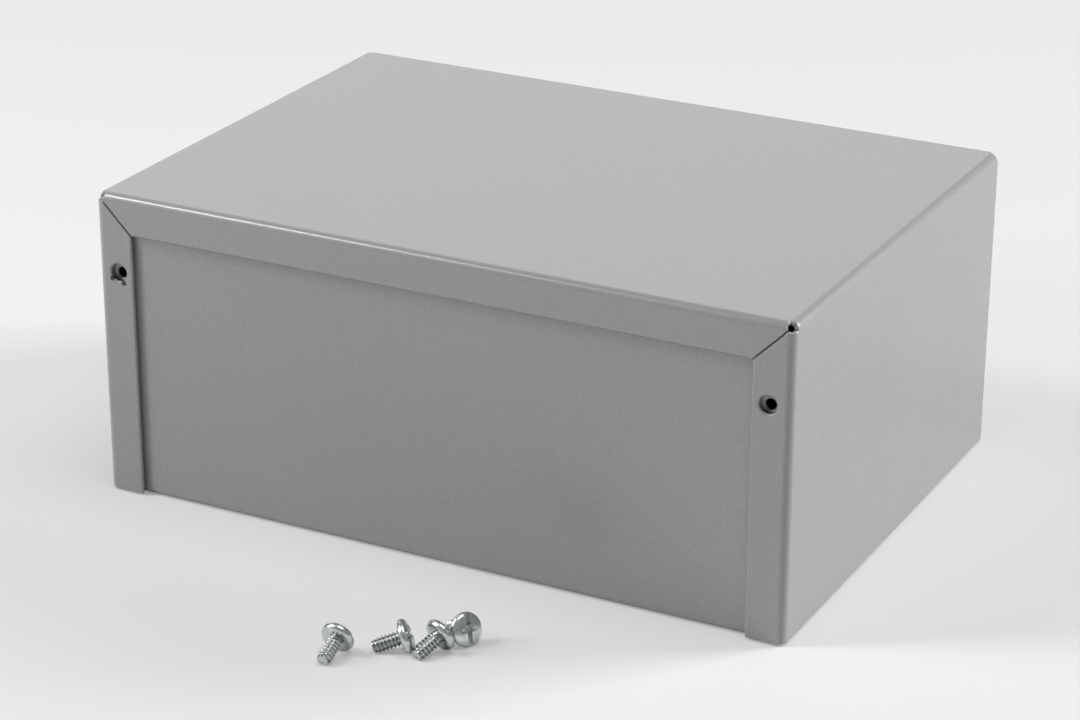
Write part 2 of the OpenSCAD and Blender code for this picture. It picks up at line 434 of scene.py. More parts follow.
@dataclass
class Blank:
    """A flat sheet of quads between grid lines, outer face up at Z = 0, with rounded cut edges."""

    stock: Stock
    xs: list[float]
    ys: list[float]
    trim: Callable[[float, float], GridSpot]

    def __post_init__(self) -> None:
        """Starts with no cells."""
        self.sheet = bmesh.new()
        self.corners: dict[tuple[int, int], BMVert] = {}
        self.spots: dict[BMVert, GridSpot] = {}
        # vertex layer slit: 1 on the inner half of a mitre slit's cut edge, where the enamel paints shade
        # near black
        self.slit = self.sheet.verts.layers.float.new("slit")

    def corner(self, i: int, j: int) -> BMVert:
        """Finds or makes the vertex where two grid lines cross, moved to the trimmed outline.

        Args:
            i: Number of the line along X.
            j: Number of the line along Y.

        Returns:
            The vertex.
        """
        if (i, j) not in self.corners:
            spot = self.trim(self.xs[i], self.ys[j])
            self.corners[i, j] = self.sheet.verts.new((spot.x, spot.y, 0.0))
            self.spots[self.corners[i, j]] = spot
        return self.corners[i, j]

    def lay_out(self, keep: Callable[[float, float], bool], holes: list[Hole]) -> None:
        """Fills the cells of the outer face.

        Args:
            keep: Tells whether the cell round a point is part of the sheet.
            holes: Round holes, each with grid lines at the sides of its square.
        """
        for i in range(len(self.xs) - 1):
            for j in range(len(self.ys) - 1):
                x = (self.xs[i] + self.xs[i + 1]) / 2
                y = (self.ys[j] + self.ys[j + 1]) / 2
                if keep(x, y) and not any(hole.takes(x, y) for hole in holes):
                    ring = ((i, j), (i + 1, j), (i + 1, j + 1), (i, j + 1))
                    self.sheet.faces.new([self.corner(*spot) for spot in ring])
        for hole in holes:
            self.pierce(hole)

    def pierce(self, hole: Hole) -> None:
        """Fills the square round a hole with a ring of quads.

        Args:
            hole: The hole.
        """
        left, right = (self.nearest(self.xs, hole.x + side * hole.reach) for side in (-1, 1))
        low, high = (self.nearest(self.ys, hole.y + side * hole.reach) for side in (-1, 1))
        square = [(i, low) for i in range(left, right)] + [(right, j) for j in range(low, high)]
        square += [(i, high) for i in range(right, left, -1)] + [(left, j) for j in range(high, low, -1)]
        outer = [self.corner(*spot) for spot in square]
        centre = Vector((hole.x, hole.y, 0))
        radius = hole.radius + self.stock.edge_r
        inner = [self.sheet.verts.new(centre + (vert.co - centre).normalized() * radius) for vert in outer]
        for k in range(len(outer)):
            self.sheet.faces.new([outer[k - 1], outer[k], inner[k], inner[k - 1]])

    @staticmethod
    def nearest(lines: list[float], at: float) -> int:
        """Returns the number of the grid line nearest to a value."""
        return min(range(len(lines)), key=lambda k: abs(lines[k] - at))

    def thicken(self) -> None:
        """Adds the inner face and the rounded edges between the two faces."""
        stock = self.stock
        plain = GridSpot(0.0, 0.0, stock.edge_r, stock.edge_r)
        rim = [edge.link_loops[0] for edge in self.sheet.edges if edge.is_boundary]
        steps = [(loop.vert, loop.link_loop_next.vert) for loop in rim]
        outward: dict[BMVert, list[Vector]] = {}
        for start, end in steps:
            run = (end.co - start.co).normalized()
            for vert in (start, end):
                outward.setdefault(vert, []).append(Vector((run.y, -run.x, 0)))
        faces = list(self.sheet.faces)
        drop = Vector((0, 0, -stock.thickness))
        twins = {vert: self.sheet.verts.new(vert.co + drop) for vert in list(self.sheet.verts)}
        for face in faces:
            self.sheet.faces.new([twins[vert] for vert in reversed(face.verts)])
        sections = {}
        for vert, (first, second) in outward.items():
            mitre = (first + second) / (1 + first.dot(second))
            spot = self.spots.get(vert, plain)
            edge = [self.sheet.verts.new(vert.co + mitre * out + Vector((0, 0, -depth)))
                    for out, depth in stock.edge_profile(spot.outer_r, spot.inner_r)]
            # painted shade: the inner half of each mitre slit's cut edge is marked to be coloured near black
            for inner in edge[stock.edge_steps:]:
                inner[self.slit] = float(spot.shaded)
            twins[vert].co += mitre * (spot.outer_r - spot.inner_r)
            sections[vert] = [vert, *edge, twins[vert]]
        for start, end in steps:
            one, two = sections[start], sections[end]
            for k in range(len(one) - 1):
                self.sheet.faces.new([two[k], one[k], one[k + 1], two[k + 1]])

    def finish(self, name: str) -> Mesh:
        """Thickens the sheet and turns it into a mesh.

        Args:
            name: Name of the mesh.

        Returns:
            The flat mesh.
        """
        self.thicken()
        for face in self.sheet.faces:
            face.smooth = True
        mesh = bpy.data.meshes.new(name)
        self.sheet.to_mesh(mesh)
        self.sheet.free()
        return mesh


@dataclass(frozen=True)
class Fold:
    """A pair of folds: how far each lies from the middle of the blank, and its angle."""

    line: float
    angle: float


class FoldTree:
    """Geometry Nodes that fold a flat blank, first its flanges and then its ends."""

    SIZES = ("End line", "End angle", "Flange line", "Flange angle", "Fold radius", "Thickness")
    INPUTS = {"Blank": "Geometry", **dict.fromkeys(SIZES, "Float"), "Turn": "Vector", "Rise": "Vector",
              "Finish": "Material"}
    SMOOTHER = {"WEIGHTED_NORMAL": {"mode": "FACE_AREA", "weight": 50, "keep_sharp": False}}

    def __init__(self) -> None:
        """Builds the tree and the group that makes one pair of folds."""
        self.pair = self.build_pair()
        self.tree = self.build_tree()

    @staticmethod
    def build_pair() -> NodeTree:
        """Builds the group that wraps a run past a line round the fold's radius, alike on both sides.

        Returns:
            The group.
        """
        inputs = dict.fromkeys(("Run", "Height", "Line", "Radius", "Angle"), "Float")
        outputs = dict.fromkeys(("Run", "Height"), "Float")
        wiring, given, sink = open_group("Pair of folds", "GeometryNodeTree", inputs, outputs)
        run, height, line, radius, angle = given.values()
        past = abs(run) - line
        bent = (past / radius).clamp(0.0, angle)
        beyond = (past - radius * angle).at_least(0.0)
        sine, cosine = bent.sine(), bent.cosine()
        distance = radius + height
        along = line + past.at_most(0.0) + (distance * sine + beyond * cosine)
        wiring.feed(sink.inputs["Run"], along * run.sign())
        wiring.feed(sink.inputs["Height"], distance * cosine - radius - beyond * sine)
        return wiring.tree

    def build_tree(self) -> NodeTree:
        """Builds the tree that folds the blank, sets it in place and gives it its finish.

        Returns:
            The tree.
        """
        outputs = {"Folded": "Geometry"}
        wiring, given, sink = open_group("Fold sheet", "GeometryNodeTree", self.INPUTS, outputs)
        place = wiring.make("GeometryNodeInputPosition")
        x, y, z = wiring.parts(place)
        marked = wiring.store(given["Blank"], "inside", -z / given["Thickness"], "FLOAT")
        marked = wiring.store(marked, "flat_place", wiring.in_mm(place), "FLOAT_VECTOR")
        flanges = self.bend(wiring, given, "Flange", y, z)
        ends = self.bend(wiring, given, "End", x, flanges["Height"])
        folded = wiring.joined(ends["Run"], flanges["Run"], ends["Height"])
        bent = wiring.make("GeometryNodeSetPosition", {"Geometry": marked, "Position": folded})
        moves = {"Geometry": bent, "Rotation": given["Turn"], "Translation": given["Rise"]}
        turned = wiring.make("GeometryNodeTransform", moves)
        wiring.feed(sink.inputs["Folded"], wiring.dress(turned, given["Finish"]))
        return wiring.tree

    def bend(self, wiring: Wiring, given: dict[str, object], which: str, run: Number,
             height: Number) -> dict[str, Number]:
        """Adds the Flange or the End folds and returns the run across them and the height after folding."""
        inputs = {"Run": run, "Height": height, "Line": given[f"{which} line"],
                  "Radius": given["Fold radius"], "Angle": given[f"{which} angle"]}
        return wiring.group("GeometryNodeGroup", self.pair, inputs)

    def fold(self, node: str, blank: Blank, ends: Fold, flanges: Fold, finish: Material, turn: float = 0.0,
             rise: float = 0.0) -> Object:
        """Folds a blank.

        Args:
            node: CAD node that the piece stands for.
            blank: The flat blank.
            ends: Folds across X.
            flanges: Folds across Y.
            finish: Material of the piece.
            turn: Angle about X that it is turned by once folded.
            rise: Height of its outer face.

        Returns:
            The folded piece.
        """
        stock = blank.stock
        sizes = (ends.line, ends.angle, flanges.line, flanges.angle, stock.fold_r, stock.thickness)
        values = {**dict(zip(self.SIZES, sizes)), "Turn": (turn, 0.0, 0.0), "Rise": (0.0, 0.0, rise),
                  "Finish": finish}
        mesh = blank.finish(f"{node}_blank")
        return bake_nodes(f"folded_{node}", mesh, self.tree, values, self.SMOOTHER)


@dataclass
class Cover:
    """Flanged U over the base: top and two ends, with a flange turned in along every open edge."""

    stock: Stock
    flange_w: float = 9.5 * MM
    mitre_gap: float = 0.42 * MM
    relief_angle: float = math.radians(41)
    toe_r: float = 0.7 * MM
    hole_d: float = 4.4 * MM
    hole_inset: float = 5.6 * MM
    hole_drop: float = 19.4 * MM
    hole_reach: float = 3.0 * MM
    mitre_zone: float = 16.0 * MM
    seam_guard: float = 1.5 * MM
    top_steps: int = 10
    mitre_steps: int = 6
    hole_steps: int = 8
    end_steps: int = 10
    toe_steps: int = 3

    def __post_init__(self) -> None:
        """Works out the fold lines and the blank's outline from the CAD node's box."""
        low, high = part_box("cover")
        stock = self.stock
        self.top = high.z
        self.fold_x = (high.x - low.x) / 2 - stock.fold_r
        self.fold_y = (high.y - low.y) / 2 - stock.fold_r
        self.end_x = self.fold_x + stock.fold_run
        self.flange_y = self.fold_y + stock.fold_run
        wall = high.z - low.z - stock.fold_r
        self.last_x = self.end_x + wall - stock.edge_r
        self.last_y = self.flange_y + self.flange_w - stock.fold_r - stock.edge_r
        self.hole_x = self.end_x + self.hole_drop - stock.fold_r
        self.hole_y = self.flange_y + self.hole_inset - stock.fold_r
        self.toe = self.toe_r - stock.edge_r

    def relief_depth(self, past: float) -> float:
        """Works out how far the punched corner relief reaches into the end of a fold.

        Args:
            past: Distance round the fold from its first line.

        Returns:
            Depth of the relief there.
        """
        angle = past / self.stock.fold_r
        spread = math.cos(angle) + math.sin(angle)
        limit = math.sqrt(3) * math.cos(self.relief_angle)
        if spread <= limit:
            return 0.0
        square = limit * limit - 1
        root = math.sqrt(spread * spread - square * (limit * limit - spread * spread))
        return self.stock.fold_r * (root - spread) / square

    def flange_end(self, out: float, edge_r: float) -> float:
        """Works out how far the end of a flange stands back from the fold line across it.

        Args:
            out: Distance from the first line of the flange's own fold.
            edge_r: Rounding of the end.

        Returns:
            Set-back of the outer face's outline.
        """
        stock = self.stock
        half_slit = self.mitre_gap / math.sqrt(2)
        if out < stock.fold_run:
            slit = half_slit - stock.fold_r * math.cos(out / stock.fold_r)
            return max(self.relief_depth(out), slit) + edge_r
        return out - stock.fold_run + half_slit + edge_r * math.sqrt(2)

    def trim(self, x: float, y: float) -> GridSpot:
        """Moves a grid point to the blank's outline: mitred ends, corner reliefs and rounded toes.

        Args:
            x: Place across the blank.
            y: Place along the blank.

        Returns:
            The trimmed point, with the rounding of the mitre or the relief that it lies on, and whether the
            slit's painted shade covers it.
        """
        side_x, side_y = math.copysign(1, x), math.copysign(1, y)
        x, y = abs(x), abs(y)
        stock, tiny = self.stock, self.stock.crisp_r / 100
        outer_r = inner_r = stock.edge_r
        shaded = False
        at_fold = self.fold_x - tiny < x < self.end_x + tiny
        if y > self.fold_y + tiny:
            if at_fold:
                # painted shade: flange ends along the mitre slit get near-black colour on their cut edges
                shaded = y > self.flange_y - tiny
                outer_r, inner_r = stock.relief_r, stock.crisp_r
                if shaded:
                    outer_r = stock.crisp_r if x < self.fold_x + tiny else stock.mitre_r
                if y > self.last_y - tiny:
                    y += stock.edge_r - outer_r
            set_back = self.flange_end(y - self.fold_y, outer_r)
            if x < self.fold_x + tiny:
                x -= max(x - (self.fold_x - self.mitre_zone), 0) / self.mitre_zone * set_back
            else:
                room = self.hole_x - self.hole_reach - self.end_x
                x += max(room - (x - self.end_x), 0) / room * set_back
            x, y = CornerCut.ROUND.cut(x, y, (self.last_x, self.last_y), self.toe)
        elif at_fold and y > self.fold_y - tiny:
            outer_r, inner_r = stock.relief_r, stock.crisp_r
            y -= self.relief_depth(x - self.fold_x) + outer_r
            if x < self.fold_x + tiny:
                x -= outer_r
            elif x > self.end_x - tiny:
                x += outer_r
        return GridSpot(side_x * x, side_y * y, outer_r, inner_r, shaded)

    def keep(self, x: float, y: float) -> bool:
        """Tells whether the blank has sheet at a place: it has none where two folds would cross."""
        return abs(y) < self.fold_y or not self.fold_x < abs(x) < self.end_x

    def build(self, folding: FoldTree, finish: Material) -> None:
        """Lays out the blank, folds it and puts it on the cover body.

        Args:
            folding: Tree that folds it.
            finish: Enamel of the cover.
        """
        hole = Hole(self.hole_x, self.hole_y, self.hole_d / 2, self.hole_reach)
        xs = grid_lines(
            (self.fold_x - self.mitre_zone, self.top_steps),
            (self.fold_x, self.mitre_steps),
            (self.end_x, self.stock.fold_steps),
            (hole.x - hole.reach, self.mitre_steps),
            (hole.x + hole.reach, self.hole_steps),
            (self.last_x - self.toe, self.end_steps),
            (self.last_x, self.toe_steps),
        )
        ys = grid_lines(
            (self.fold_y - self.seam_guard, self.top_steps),
            (self.fold_y, 1),
            (self.flange_y, self.stock.fold_steps),
            (hole.y - hole.reach, 1),
            (hole.y + hole.reach, self.hole_steps),
            (self.last_y - self.toe, 1),
            (self.last_y, self.toe_steps),
        )
        blank = Blank(self.stock, xs, ys, self.trim)
        blank.lay_out(self.keep, hole.at_corners())
        ends, flanges = Fold(self.fold_x, RIGHT_ANGLE), Fold(self.fold_y, RIGHT_ANGLE)
        piece = folding.fold("cover", blank, ends, flanges, finish, rise=self.top)
        place_on_frame(piece, "cover", "cover")


@dataclass
class Base:
    """Plain U under the cover: bottom, front panel and rear panel."""

    stock: Stock
    clip: float = 3.0 * MM
    hole_d: float = 2.6 * MM
    hole_x: float = 83.3 * MM
    hole_z: float = 56.8 * MM
    hole_reach: float = 2.2 * MM
    panel_steps: int = 14
    hole_steps: int = 8
    edge_steps: int = 3
    clip_steps: int = 5

    def __post_init__(self) -> None:
        """Works out the fold line and the blank's outline from the CAD node's box."""
        low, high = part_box("base")
        stock = self.stock
        self.half_w = (high.x - low.x) / 2 - stock.edge_r
        self.fold_y = (high.y - low.y) / 2 - stock.fold_r
        self.panel_y = self.fold_y + stock.fold_run
        self.last_y = self.panel_y + high.z - low.z - stock.fold_r - stock.edge_r
        self.hole_y = self.panel_y + self.hole_z - low.z - stock.fold_r
        self.corner = self.clip - stock.edge_r * (2 - math.sqrt(2))

    def trim(self, x: float, y: float) -> GridSpot:
        """Clips the free corners of the two panels.

        Args:
            x: Place across the blank.
            y: Place along the blank.

        Returns:
            The trimmed point.
        """
        edge_r = self.stock.edge_r
        cut_x, cut_y = CornerCut.CLIP.cut(abs(x), abs(y), (self.half_w, self.last_y), self.corner)
        return GridSpot(math.copysign(cut_x, x), math.copysign(cut_y, y), edge_r, edge_r)

    def build(self, folding: FoldTree, finish: Material) -> None:
        """Lays out the blank, folds it and puts it on the base body.

        Args:
            folding: Tree that folds it.
            finish: Enamel of the base.
        """
        hole = Hole(self.hole_x, self.hole_y, self.hole_d / 2, self.hole_reach)
        xs = grid_lines(
            (hole.x - hole.reach, self.panel_steps),
            (hole.x + hole.reach, self.hole_steps),
            (self.half_w, self.edge_steps),
        )
        ys = grid_lines(
            (self.fold_y, self.panel_steps),
            (self.panel_y, self.stock.fold_steps),
            (hole.y - hole.reach, self.panel_steps),
            (hole.y + hole.reach, self.hole_steps),
            (self.last_y - self.corner, self.edge_steps),
            (self.last_y, self.clip_steps),
        )
        blank = Blank(self.stock, xs, ys, self.trim)
        blank.lay_out(lambda x, y: True, hole.at_corners())
        ends, flanges = Fold(self.half_w, 0.0), Fold(self.fold_y, RIGHT_ANGLE)
        piece = folding.fold("base", blank, ends, flanges, finish, turn=math.pi)
        place_on_frame(piece, "base", "base")


@dataclass(frozen=True)
class Spot:
    """Where a loose screw lies: right and forward of the front's middle, its heading and its turn."""

    right: float
    forward: float
    heading: float
    turn: float


@dataclass
class CoverScrews:
    """Self-tapping cover screws lying in front of the box. Each float is an input of their tree.

    The slot's cutter spans a number of head radii, and the cross keeps a share of its width (taper) and
    of its thickness (draft) at the bottom. Spare turns of the grid close the tip.
    """

    length: float = 6.5 * MM
    thread_radius: float = 1.75 * MM
    core_radius: float = 1.35 * MM
    tip_radius: float = 1.3 * MM
    pitch: float = 0.9 * MM
    ridge_width: float = 0.62 * MM
    tip_taper: float = 1.6 * MM
    run_in: float = 1.3 * MM
    head_radius: float = 3.9 * MM
    head_height: float = 2.6 * MM
    rim_radius: float = 1.05 * MM
    slot_width: float = 1.15 * MM
    slot_depth: float = 1.0 * MM
    slot_span: float = 2.4
    cross_width: float = 4.8 * MM
    cross_depth: float = 1.6 * MM
    cross_taper: float = 0.4
    cross_draft: float = 0.8
    clearance: float = 0.2 * MM
    crisp_angle: float = math.radians(50)
    weld: float = 0.001 * MM
    crown_radius: float = field(init=False)
    crown_angle: float = field(init=False)
    spots: tuple[Spot, ...] = (
        Spot(0.374, 5.508, 182, 20),
        Spot(1.76, 4.613, 120, 75),
        Spot(2.561, 4.194, 161, 40),
        Spot(2.937, 3.479, 61, -2),
    )
    around: int = 64
    rows_per_turn: int = 16
    spare_turns: int = 2
    head_rows: tuple[int, int, int] = (3, 10, 12)

    LIPS = {"width": 0.07 * MM, "segments": 2, "limit_method": "WEIGHT", "use_clamp_overlap": True}

    def __post_init__(self) -> None:
        """Works out the crown, how a screw rests and the unit of the spots."""
        rim_r, run = self.rim_radius, self.length + self.rim_radius
        reach, side = self.head_radius - rim_r, self.head_radius - self.tip_radius - rim_r
        rise = self.head_height - 2 * rim_r
        self.crown_radius = (reach ** 2 + (self.head_height - rim_r) ** 2 - rim_r ** 2) / (2 * rise)
        self.crown_angle = math.asin(reach / (self.crown_radius - rim_r))
        self.tilt = math.acos(-rim_r / math.hypot(side, run)) - math.atan2(run, side)
        self.height = reach * math.cos(self.tilt) + rim_r * (1 - math.sin(self.tilt))
        self.unit = (self.head_radius + self.head_height + self.length) * 2 / 3
        self.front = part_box("cover")[0].y

    def sizes(self) -> dict[str, float]:
        """Lists the sizes by the names of the tree's inputs, such as Head height."""
        names = [entry.name for entry in fields(self) if entry.type is float]
        return {name.replace("_", " ").capitalize(): getattr(self, name) for name in names}

    def build_tree(self) -> NodeTree:
        """Builds the tree that makes one screw and lays it in its place.

        Returns:
            The tree.
        """
        inputs = {"Geometry": "Geometry", **dict.fromkeys(self.sizes(), "Float"), "Place": "Vector",
                  "Facing": "Vector", "Finish": "Material"}
        wiring, given, sink = open_group("Cover screw", "GeometryNodeTree", inputs, {"Screw": "Geometry"})
        turned = {"Mesh 1": self.turned_skin(wiring, given)}
        cut = wiring.add("GeometryNodeMeshBoolean", turned, operation="DIFFERENCE", solver="EXACT")
        for cutter in self.recess_cutters(wiring, given):
            wiring.feed(cut.inputs["Mesh 2"], cutter)
        soft = {"Geometry": cut.outputs["Mesh"], "Shade Smooth": True}
        smooth = wiring.make("GeometryNodeSetShadeSmooth", soft, domain="FACE")
        lips = cut.outputs["Intersecting Edges"]
        lipped = wiring.store(smooth, "bevel_weight_edge", 1.0, "FLOAT", "EDGE", lips)
        bend = wiring.make("GeometryNodeInputMeshEdgeAngle")
        crisp = wiring.calc("GREATER_THAN", bend, given["Crisp angle"])
        hard = {"Geometry": lipped, "Selection": crisp, "Shade Smooth": False}
        edged = wiring.make("GeometryNodeSetShadeSmooth", hard, domain="EDGE")
        place = wiring.in_mm(wiring.make("GeometryNodeInputPosition"))
        marked = wiring.store(edged, "screw_place", place, "FLOAT_VECTOR")
        spot = wiring.make("GeometryNodePoints", {"Count": 1, "Position": given["Place"]})
        layout = {"Points": spot, "Instance": marked, "Rotation": given["Facing"]}
        laid = wiring.make("GeometryNodeInstanceOnPoints", layout)
        wiring.feed(sink.inputs["Screw"], wiring.dress(laid, given["Finish"]))
        return wiring.tree

    def turned_skin(self, wiring: Wiring, given: dict[str, Number]) -> NodeSocket:
        """Makes the closed skin of a screw from a grid: blunt tip, helical thread and domed head.

        Args:
            wiring: Wiring of the screw tree.
            given: The tree's inputs.

        Returns:
            The skin.
        """
        length, pitch, core_r = given["Length"], given["Pitch"], given["Core radius"]
        ridge_w, rim_r, crown_angle = given["Ridge width"], given["Rim radius"], given["Crown angle"]
        thread_rows = (math.ceil(self.length / self.pitch) + self.spare_turns) * self.rows_per_turn
        under, rim, crown = self.head_rows
        rows = thread_rows + under + rim + crown
        cells = {"Size X": 1.0, "Size Y": 1.0, "Vertices X": self.around + 1, "Vertices Y": rows + 1}
        grid = wiring.make("GeometryNodeMeshGrid", cells)
        x, y, _ = wiring.parts(wiring.make("GeometryNodeInputPosition"))
        share = x + 0.5
        row = ((y + 0.5) * rows).rounded()
        turn = row / self.rows_per_turn
        raw = (turn + share - self.spare_turns) * pitch - length
        level = raw.clamp(-length, 0.0)
        above_tip = level + length
        core = wiring.blend((above_tip / given["Tip taper"]).clamp(), given["Tip radius"], core_r)
        off_crest = abs(turn.fraction() - 0.5) * pitch
        crest = wiring.ramp(1.0 - off_crest * 2.0 / ridge_w, 0.0, 1.0)
        start = (above_tip / given["Run in"]).clamp()
        ridge = crest * (given["Thread radius"] - core_r) * start * wiring.ramp(-level, 0.0, ridge_w)
        closed = ((-length - raw) / pitch).clamp()
        shank = (core + ridge) * (1.0 - closed)
        past = row - thread_rows
        ledge = (past / under).clamp()
        edge = ((past - under) / rim).clamp()
        cap = ((past - (under + rim)) / crown).clamp()
        bend = edge * (math.pi - crown_angle) - RIGHT_ANGLE
        dome = crown_angle * (1.0 - cap)
        dome_r = given["Crown radius"] * (dome.sine() - crown_angle.sine())
        dome_z = given["Crown radius"] * (dome.cosine() - crown_angle.cosine())
        radius = wiring.blend(ledge, shank, given["Head radius"] - rim_r) + rim_r * bend.cosine() + dome_r
        height = level + rim_r * (bend.sine() + 1.0) + dome_z
        angle = share * (2 * math.pi)
        spun = wiring.joined(radius * angle.cosine(), radius * angle.sine(), height)
        shaped = wiring.make("GeometryNodeSetPosition", {"Geometry": grid, "Position": spun})
        return wiring.make("GeometryNodeMergeByDistance", {"Geometry": shaped, "Distance": given["Weld"]})

    @staticmethod
    def recess_cutters(wiring: Wiring, given: dict[str, Number]) -> list[NodeSocket]:
        """Makes the solids that cut the slot and the tapered cross out of a head.

        Args:
            wiring: Wiring of the screw tree.
            given: The tree's inputs.

        Returns:
            The cutters.
        """
        top = given["Head height"] + given["Clearance"]
        tall = given["Slot depth"] + given["Clearance"]
        size = wiring.joined(given["Head radius"] * given["Slot span"], given["Slot width"], tall)
        slot = wiring.make("GeometryNodeMeshCube", {"Size": size})
        rise = wiring.joined(z=top - tall / 2.0)
        cutters = [wiring.make("GeometryNodeTransform", {"Geometry": slot, "Translation": rise})]
        deep = given["Cross depth"] + given["Clearance"]
        size = wiring.joined(given["Cross width"], given["Slot width"], deep)
        wing = wiring.make("GeometryNodeMeshCube", {"Size": size})
        x, y, z = wiring.parts(wiring.make("GeometryNodeInputPosition"))
        share = z / deep + 0.5
        narrow, thin = (wiring.blend(share, given[foot], 1.0) for foot in ("Cross taper", "Cross draft"))
        tapered = wiring.joined(x * narrow, y * thin, z)
        wing = wiring.make("GeometryNodeSetPosition", {"Geometry": wing, "Position": tapered})
        rise = wiring.joined(z=top - deep / 2.0)
        for turn in (0.0, RIGHT_ANGLE):
            inputs = {"Geometry": wing, "Translation": rise, "Rotation": (0.0, 0.0, turn)}
            cutters.append(wiring.make("GeometryNodeTransform", inputs))
        return cutters

    def build(self, finish: Material) -> None:
        """Makes each screw and puts it on the base body.

        Args:
            finish: Plating of the screws.
        """
        tree = self.build_tree()
        for number, spot in enumerate(self.spots, start=1):
            place = Vector((spot.right * self.unit, self.front - spot.forward * self.unit, self.height))
            facing = (Matrix.Rotation(math.radians(spot.heading) - RIGHT_ANGLE, 3, "Z")
                      @ Matrix.Rotation(RIGHT_ANGLE - self.tilt, 3, "Y")
                      @ Matrix.Rotation(math.radians(spot.turn), 3, "Z"))
            own = {"Place": tuple(place), "Facing": tuple(facing.to_euler()), "Finish": finish}
            seed = bpy.data.meshes.new("screw_seed")
            piece = bake_nodes(f"loose_screw_{number}", seed, tree, self.sizes() | own, {"BEVEL": self.LIPS})
            place_on_frame(piece, "base", f"cover_screw_{number}")


class GrainGroup:
    """Shader node group for a sprayed skin: fine grain, soft peel and slow mottle."""

    DETAIL = {"Grain": 3.0, "Peel": 1.0, "Mottle": 2.0}
    SPREAD = (0.3, 0.7)

    def __init__(self) -> None:
        """Builds the group."""
        inputs = {"Place": "Vector", **{f"{layer} size": "Float" for layer in self.DETAIL}}
        outputs = dict.fromkeys(self.DETAIL, "Float")
        wiring, given, sink = open_group("Sprayed skin", "ShaderNodeTree", inputs, outputs)
        for layer, detail in self.DETAIL.items():
            wiring.feed(sink.inputs[layer], wiring.noise(given["Place"], given[f"{layer} size"], detail))
        self.tree = wiring.tree

    def use(self, wiring: Wiring, place: NodeSocket, sizes: Triple) -> dict[str, Number]:
        """Adds the skin to a material and returns its layers; the sizes follow their order."""
        inputs = {f"{layer} size": size for layer, size in zip(self.DETAIL, sizes)}
        return wiring.group("ShaderNodeGroup", self.tree, {"Place": place, **inputs})


class ChipGroup:
    """Shader node group for a ragged chip in a finish."""

    SOLID = 0.85

    def __init__(self) -> None:
        """Builds the group."""
        inputs = {"Place": "Vector", "Spot": "Vector", "Radius": "Float", "Ragged": "Float",
                  "Raggedness": "Float"}
        wiring, given, sink = open_group("Ragged chip", "ShaderNodeTree", inputs, {"Mask": "Float"})
        ends = {0: given["Place"], 1: given["Spot"]}
        away = wiring.add("ShaderNodeVectorMath", ends, operation="DISTANCE").outputs["Value"]
        wobble = wiring.noise(given["Place"], given["Ragged"]) - 0.5
        edge = wobble * given["Raggedness"] + away
        mask = 1.0 - wiring.ramp(edge, given["Radius"] * self.SOLID, given["Radius"])
        wiring.feed(sink.inputs["Mask"], mask)
        self.tree = wiring.tree


@dataclass(frozen=True)
class Chip:
    """A chip in the enamel: middle, radius, and size and reach of its ragged edge, in millimetres."""

    spot: Triple
    radius: float
    ragged: float = 0.45
    raggedness: float = 1.1


